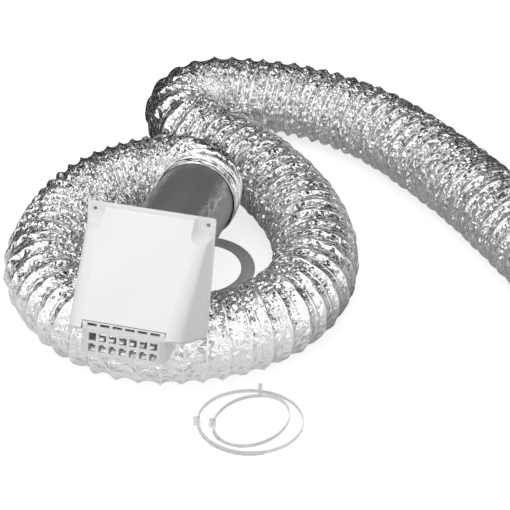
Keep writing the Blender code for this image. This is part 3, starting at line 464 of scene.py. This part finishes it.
def tint(tree, share, first, second):
    """Colour a material between a first and a second colour by a share."""
    mixed = add_node(tree, "ShaderNodeMix", {0: share, 6: first, 7: second}, data_type="RGBA")
    tree.links.new(mixed.outputs[2], tree.nodes["Principled BSDF"].inputs["Base Color"])


# Crumpled sheet metal: small flat facets, each tilted its own way, between creases.
crumple, size = surface_group("crumpled_facets", ("Facets per metre", "Tilt", "Warp"), ("Height",))
tree = crumple
half = (0.5, 0.5, 0.5)
stir = add_node(tree, "ShaderNodeTexNoise", {"Vector": size["Vector"], "Scale": 140.0, "Detail": 2.0})
stir = vector_calc(tree, "SUBTRACT", stir.outputs["Color"], half)
stir = add_node(tree, "ShaderNodeVectorMath", {0: stir, "Scale": size["Warp"]}, operation="SCALE").outputs[0]
stir = vector_calc(tree, "ADD", size["Vector"], stir)
cell = add_node(tree, "ShaderNodeTexVoronoi", {"Vector": stir, "Scale": size["Facets per metre"]}).outputs
local = vector_calc(tree, "SUBTRACT", stir, cell["Position"])
tilt = vector_calc(tree, "SUBTRACT", cell["Color"], half)
# Most facets lie nearly flat and a few stand steep.
steep = calc(tree, "POWER", vector_calc(tree, "LENGTH", tilt), 1.5)
rise = vector_calc(tree, "DOT_PRODUCT", local, tilt)
rise = calc(tree, "MULTIPLY", rise, calc(tree, "MULTIPLY", size["Tilt"], calc(tree, "MULTIPLY", steep, 3.0)))
add_node(tree, "NodeGroupOutput", {0: rise})

foil = bpy.data.materials.new("crumpled_foil")
foil.use_nodes = True
tree = foil.node_tree
shader = tree.nodes["Principled BSDF"]
laid_out = add_node(tree, "ShaderNodeAttribute", attribute_name="foil_place").outputs["Vector"]
slack = add_node(tree, "ShaderNodeAttribute", attribute_name="foil_slack").outputs["Fac"]
off_wire = add_node(tree, "ShaderNodeAttribute", attribute_name="foil_wire").outputs["Fac"]
turn = add_node(tree, "ShaderNodeAttribute", attribute_name="foil_turn").outputs["Vector"]
coarse = add_node(tree, "ShaderNodeGroup", {"Vector": laid_out, "Facets per metre": 270.0, "Tilt": 1.4,
                                            "Warp": 0.004}, node_tree=crumple).outputs[0]
fine = add_node(tree, "ShaderNodeGroup", {"Vector": laid_out, "Facets per metre": 520.0, "Tilt": 0.9,
                                          "Warp": 0.002}, node_tree=crumple).outputs[0]
height = calc(tree, "MULTIPLY", calc(tree, "ADD", coarse, fine), slack)
# Diamond creases run to and fro between neighbouring turns.
parts = add_node(tree, "ShaderNodeSeparateXYZ", {0: turn}).outputs
wander = add_node(tree, "ShaderNodeTexNoise", {"Vector": laid_out, "Scale": 60.0}).outputs[0]
zigzag = calc(tree, "PINGPONG", calc(tree, "ADD", calc(tree, "MULTIPLY", parts[0], 14.0), wander), 0.5)
zigzag = calc(tree, "ABSOLUTE", calc(tree, "SUBTRACT", off_wire, zigzag))
where = add_node(tree, "ShaderNodeTexNoise", {"Vector": laid_out, "Scale": 14.0}).outputs[0]
where = ramp(tree, where, 0.42, 0.6)
height = calc(tree, "ADD", height, calc(tree, "MULTIPLY", calc(tree, "MULTIPLY", zigzag, where), 0.006))
# Over the wire, and half-way between turns where the strip laps itself, it is a smooth ridge.
ridge = ramp(tree, off_wire, 0.02, 0.095, 1.0, 0.0, ease=True)
lap = ramp(tree, off_wire, 0.42, 0.48, ease=True)
ridge = calc(tree, "MAXIMUM", ridge, calc(tree, "MULTIPLY", lap, 0.9))
# The foil stretched over the pipe at the mouth has few creases.
along = add_node(tree, "ShaderNodeSeparateXYZ", {0: laid_out}).outputs["Z"]
mouth = ramp(tree, along, 0.024, grip_end, 0.25, 1.0)
height = calc(tree, "MULTIPLY", calc(tree, "MULTIPLY", height, mouth), calc(tree, "SUBTRACT", 1.0, ridge))
high = ramp(tree, mouth, 0.25, 1.0, 0.0015, 0.0008)
bump(tree, calc(tree, "ADD", height, calc(tree, "MULTIPLY", ridge, high)))
patch = add_node(tree, "ShaderNodeTexNoise", {"Vector": laid_out, "Scale": 35.0, "Detail": 3.0}).outputs[0]
tint(tree, patch, (0.89, 0.89, 0.905, 1), (0.96, 0.96, 0.97, 1))
rough = calc(tree, "ADD", ramp(tree, patch, 0.0, 1.0, 0.10, 0.20), calc(tree, "MULTIPLY", ridge, 0.28))
tree.links.new(rough, shader.inputs["Roughness"])
shader.inputs["Metallic"].default_value = 1.0

foil_sizes = {"Sides": 128, "Crest Radius": crest_radius, "Bore Radius": bore_radius, "Sag": 0.0050,
              "Pitch": 0.021873, "Mouth Length": 0.032, "Mouth Pitch": 0.008, "Mouth Flare": mouth_flare,
              "Packed Length": 0.31, "Packed Pitch": 0.0145, "Wire Radius": 0.0013,
              "Crumple Size": 0.009, "Crumple Depth": 0.0007, "Flattening": 0.972, "Lining": 0.05,
              "Length": duct_length, "Foil": foil}
ribbed = bpy.data.node_groups["ribbed_foil"]
foil_loop = made_by(ribbed, "foil_loop", axis_mesh, {**foil_sizes, "From": -1.0, "To": loop_end})
foil_tail = made_by(ribbed, "foil_tail", axis_mesh, {**foil_sizes, "From": loop_end, "To": 9.0})
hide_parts("duct_loop")
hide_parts("duct_flex", "duct_tail")
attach(foil_loop, "duct")
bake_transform(foil_tail)


# ---- hood, damper and bird guard -----------------------------------------------------
# Three mouldings of white polypropylene: the wall hood with its plate, the flap on its two
# pins behind the slanted cover, and the basket guard that pushes into the hood's foot.
moulded, size = surface_group("moulded_surface", ("Grain per metre", "Grain Height"), ("Height", "Flow"))
tree = moulded
grain = add_node(tree, "ShaderNodeTexNoise", {"Vector": size["Vector"], "Scale": size["Grain per metre"],
                                              "Detail": 3.0}).outputs[0]
# Where the melt flowed unevenly the skin is a little duller and less white.
flow = add_node(tree, "ShaderNodeTexNoise", {"Vector": size["Vector"], "Scale": 22.0, "Detail": 4.0,
                                             "Distortion": 0.6}).outputs[0]
add_node(tree, "NodeGroupOutput", {0: calc(tree, "MULTIPLY", grain, size["Grain Height"]), 1: flow})


def plastic(name, white, shade, gloss, grain_height):
    """Moulded plastic between two near colours and two degrees of gloss."""
    skin = bpy.data.materials.new(name)
    skin.use_nodes = True
    tree = skin.node_tree
    shader = tree.nodes["Principled BSDF"]
    place = add_node(tree, "ShaderNodeTexCoord").outputs["Object"]
    surface = add_node(tree, "ShaderNodeGroup", {"Vector": place, "Grain per metre": 1100.0,
                                                 "Grain Height": grain_height}, node_tree=moulded).outputs
    bump(tree, surface["Height"])
    tint(tree, surface["Flow"], (*white, 1), (*shade, 1))
    tree.links.new(ramp(tree, surface["Flow"], 0.0, 1.0, *gloss), shader.inputs["Roughness"])
    shader.inputs["IOR"].default_value = 1.49
    return skin


def eased_copy(node, name, width, skin, body):
    """A piece shaped as its solid, with its points joined and its edges rounded off."""
    mesh = bpy.data.objects[node].data.copy()
    work = bmesh.new()
    work.from_mesh(mesh)
    bmesh.ops.remove_doubles(work, verts=work.verts[:], dist=0.000002)
    bmesh.ops.dissolve_limit(work, angle_limit=math.radians(0.5), verts=work.verts[:], edges=work.edges[:])
    work.to_mesh(mesh)
    work.free()
    item = bpy.data.objects.new(name, mesh)
    scene.collection.objects.link(item)
    edges = item.modifiers.new("edges", "BEVEL")
    edges.width, edges.segments, edges.limit_method = width, 2, "ANGLE"
    edges.angle_limit = math.radians(32)
    graph = bpy.context.evaluated_depsgraph_get()
    mesh = bpy.data.meshes.new_from_object(item.evaluated_get(graph))
    item.modifiers.clear()
    item.data = mesh
    mesh.name = name
    mesh.shade_smooth()
    mesh.set_sharp_from_angle(angle=math.radians(38))
    mesh.materials.clear()
    mesh.materials.append(skin)
    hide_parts(node)
    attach(item, body)
    return item


white = plastic("white_plastic", (0.83, 0.83, 0.825), (0.80, 0.80, 0.80), (0.34, 0.46), 0.00002)
eased_copy("hood", "wall_hood", 0.0006, white, "hood")
eased_copy("damper", "damper_flap", 0.0004, white, "damper")
eased_copy("guard", "bird_guard", 0.0004, white, "guard")


# ---- tailpipe ------------------------------------------------------------------------
# Four-inch pipe of thin mill-finish aluminium, rolled up and closed by a folded seam. It is
# pushed over the hood's collar, and its far end stands inside the duct's mouth.
pipe_gap = 0.0005
pipe_outer = (bore_radius + mouth_flare) * flat_share - pipe_gap
pipe_wall = 0.0006
pipe_from, pipe_to = 0.0018, 0.255
seam_turn, seam_half, seam_rise, seam_edge = math.radians(151), 0.0032, 0.0007, 0.0012
sides = 180


def pipe_skin(y, radius, seam):
    """One ring of points in the pipe's own frame; the seam's fold stands proud of the skin."""
    ring = []
    for k in range(sides):
        a = 2 * math.pi * k / sides
        off = abs((a - seam_turn + math.pi) % (2 * math.pi) - math.pi) * radius
        step = seam_rise * min(max((seam_half + seam_edge / 2 - off) / seam_edge, 0.0), 1.0) if seam else 0.0
        ring.append(Vector(((radius + step) * math.cos(a), y, (radius + step) * math.sin(a))))
    return ring


rolled = bmesh.new()
stops = [(pipe_from, pipe_outer, True), (0.150, pipe_outer, True), (pipe_to - 0.001, pipe_outer, True),
         (pipe_to, pipe_outer - 0.0002, True), (pipe_to, pipe_outer - pipe_wall, False),
         (pipe_from, pipe_outer - pipe_wall, False)]
rings = [[rolled.verts.new(p) for p in pipe_skin(*stop)] for stop in stops]
for first, second in zip(rings, rings[1:] + rings[:1]):
    for k in range(sides):
        n = (k + 1) % sides
        rolled.faces.new((first[k], first[n], second[n], second[k]))
bmesh.ops.recalc_face_normals(rolled, faces=rolled.faces[:])
pipe_mesh = bpy.data.meshes.new("tailpipe")
rolled.to_mesh(pipe_mesh)
rolled.free()
unrolled = pipe_mesh.attributes.new("unrolled", "FLOAT_VECTOR", "POINT")
for point, place in zip(pipe_mesh.vertices, unrolled.data):
    place.vector = point.co
pipe_mesh.transform(hood_place)
pipe_mesh.shade_smooth()
pipe_mesh.set_sharp_from_angle(angle=math.radians(25))
tailpipe = bpy.data.objects.new("tailpipe", pipe_mesh)
scene.collection.objects.link(tailpipe)

sheet_metal, size = surface_group("rolled_sheet", ("Dent Depth", "Roll Depth"), ("Height", "Wear"))
tree = sheet_metal
# Mill lines run along the sheet; soft dents and rub marks come from handling.
drawn = vector_calc(tree, "MULTIPLY", size["Vector"], (1.0, 0.02, 1.0))
lines = add_node(tree, "ShaderNodeTexNoise", {"Vector": drawn, "Scale": 900.0, "Detail": 2.0}).outputs[0]
dents = add_node(tree, "ShaderNodeTexNoise",
                 {"Vector": size["Vector"], "Scale": 45.0, "Detail": 2.0}).outputs[0]
rubs = add_node(tree, "ShaderNodeTexNoise", {"Vector": size["Vector"], "Scale": 110.0, "Detail": 5.0,
                                             "Roughness": 0.65}).outputs[0]
add_node(tree, "NodeGroupOutput", {
    0: calc(tree, "ADD", calc(tree, "MULTIPLY", dents, size["Dent Depth"]),
            calc(tree, "MULTIPLY", lines, size["Roll Depth"])), 1: rubs})


def mill_finish(name, bright, dull, gloss, dent, turned):
    """Dull aluminium sheet between two colours; turned lays the mill lines along the piece."""
    skin = bpy.data.materials.new(name)
    skin.use_nodes = True
    tree = skin.node_tree
    shader = tree.nodes["Principled BSDF"]
    place = add_node(tree, "ShaderNodeMapping", {
        "Vector": add_node(tree, "ShaderNodeTexCoord").outputs["Object"], "Rotation": turned})
    surface = add_node(tree, "ShaderNodeGroup", {"Vector": place.outputs[0], "Dent Depth": dent,
                                                 "Roll Depth": 0.000012}, node_tree=sheet_metal).outputs
    bump(tree, surface["Height"])
    tint(tree, surface["Wear"], (*bright, 1), (*dull, 1))
    tree.links.new(ramp(tree, surface["Wear"], 0.0, 1.0, *gloss), shader.inputs["Roughness"])
    shader.inputs["Metallic"].default_value = 1.0
    return skin


pipe_turn = (math.radians(14.7), 0, math.radians(11.5))
pipe_mesh.materials.append(mill_finish("grey_aluminium", (0.515, 0.51, 0.525), (0.455, 0.45, 0.465),
                                       (0.48, 0.58), 0.0004, pipe_turn))
# Painted highlights: the skin is coloured bright along both flanks, broken up by a crease pattern, which also
# raises the skin.
tree = pipe_mesh.materials[0].node_tree
shader = tree.nodes["Principled BSDF"]
place = add_node(tree, "ShaderNodeAttribute", attribute_name="unrolled").outputs["Vector"]
parts = add_node(tree, "ShaderNodeSeparateXYZ", {0: place}).outputs
round_pipe = calc(tree, "DEGREES", calc(tree, "ARCTAN2", parts["Z"], parts["X"]))


def stripe(middle, full, none):
    """A painted highlight stripe along the pipe at an angle, fading from full to none over degrees."""
    off = calc(tree, "ABSOLUTE", calc(tree, "SUBTRACT", round_pipe, middle))
    return ramp(tree, off, full, none, 1.0, 0.0)


seam_side = stripe(135.0, 9.0, 22.0)
flank = stripe(36.0, 4.0, 15.0)
drawn = vector_calc(tree, "MULTIPLY", place, (1.0, 0.22, 1.0))
creases = add_node(tree, "ShaderNodeTexNoise", {"Vector": drawn, "Scale": 170.0, "Detail": 4.0,
                                                "Roughness": 0.6, "Distortion": 0.8}).outputs[0]
creases_and_painted_highlight = calc(tree, "MULTIPLY", ramp(tree, creases, 0.42, 0.60),
              calc(tree, "MAXIMUM", seam_side, calc(tree, "MULTIPLY", flank, 0.85)))
# The bright colour here is a painted highlight; the bump below is the creases.
tint(tree, creases_and_painted_highlight, shader.inputs["Base Color"].links[0].from_socket, (0.93, 0.93, 0.95, 1))
bump(tree, calc(tree, "MULTIPLY", creases_and_painted_highlight, 0.0009))
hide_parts("tail_pipe")
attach(tailpipe, "hood")


# ---- wall ring -----------------------------------------------------------------------
# Flat trim ring punched from the same sheet. It lies loose on the floor and later covers
# the hole in the wall round the pipe.
ring_skin = mill_finish("ring_metal", (0.66, 0.66, 0.68), (0.58, 0.58, 0.60), (0.55, 0.70), 0.0004,
                        (0, 0, 0.4))
eased_copy("wall_ring", "trim_ring", 0.00015, ring_skin, "wall_ring")


# ---- nylon ties ----------------------------------------------------------------------
# Two cable ties of natural nylon, closed in loose loops, the short one tilted inside the long
# one. Each is one moulding, its band toothed across and run through its head.
nylon = plastic("natural_nylon", (0.95, 0.95, 0.94), (0.92, 0.92, 0.91), (0.34, 0.46), 0.00001)
tree = nylon.node_tree
shader = tree.nodes["Principled BSDF"]
place = add_node(tree, "ShaderNodeTexCoord").outputs["Object"]
place = add_node(tree, "ShaderNodeSeparateXYZ", {0: place}).outputs
tie_middle = Vector((-0.0046, -0.327, 0)) - outline_middle
turn = calc(tree, "ARCTAN2", calc(tree, "SUBTRACT", place["Y"], tie_middle.y),
            calc(tree, "SUBTRACT", place["X"], tie_middle.x))
teeth = calc(tree, "PINGPONG", calc(tree, "MULTIPLY", turn, 60.0), 0.5)
bump(tree, calc(tree, "MULTIPLY", teeth, 0.0004))
shader.inputs["Transmission Weight"].default_value = 0.55
for node, name in (("tie_large", "long_tie"), ("tie_small", "short_tie")):
    eased_copy(node, name, 0.0003, nylon, node)
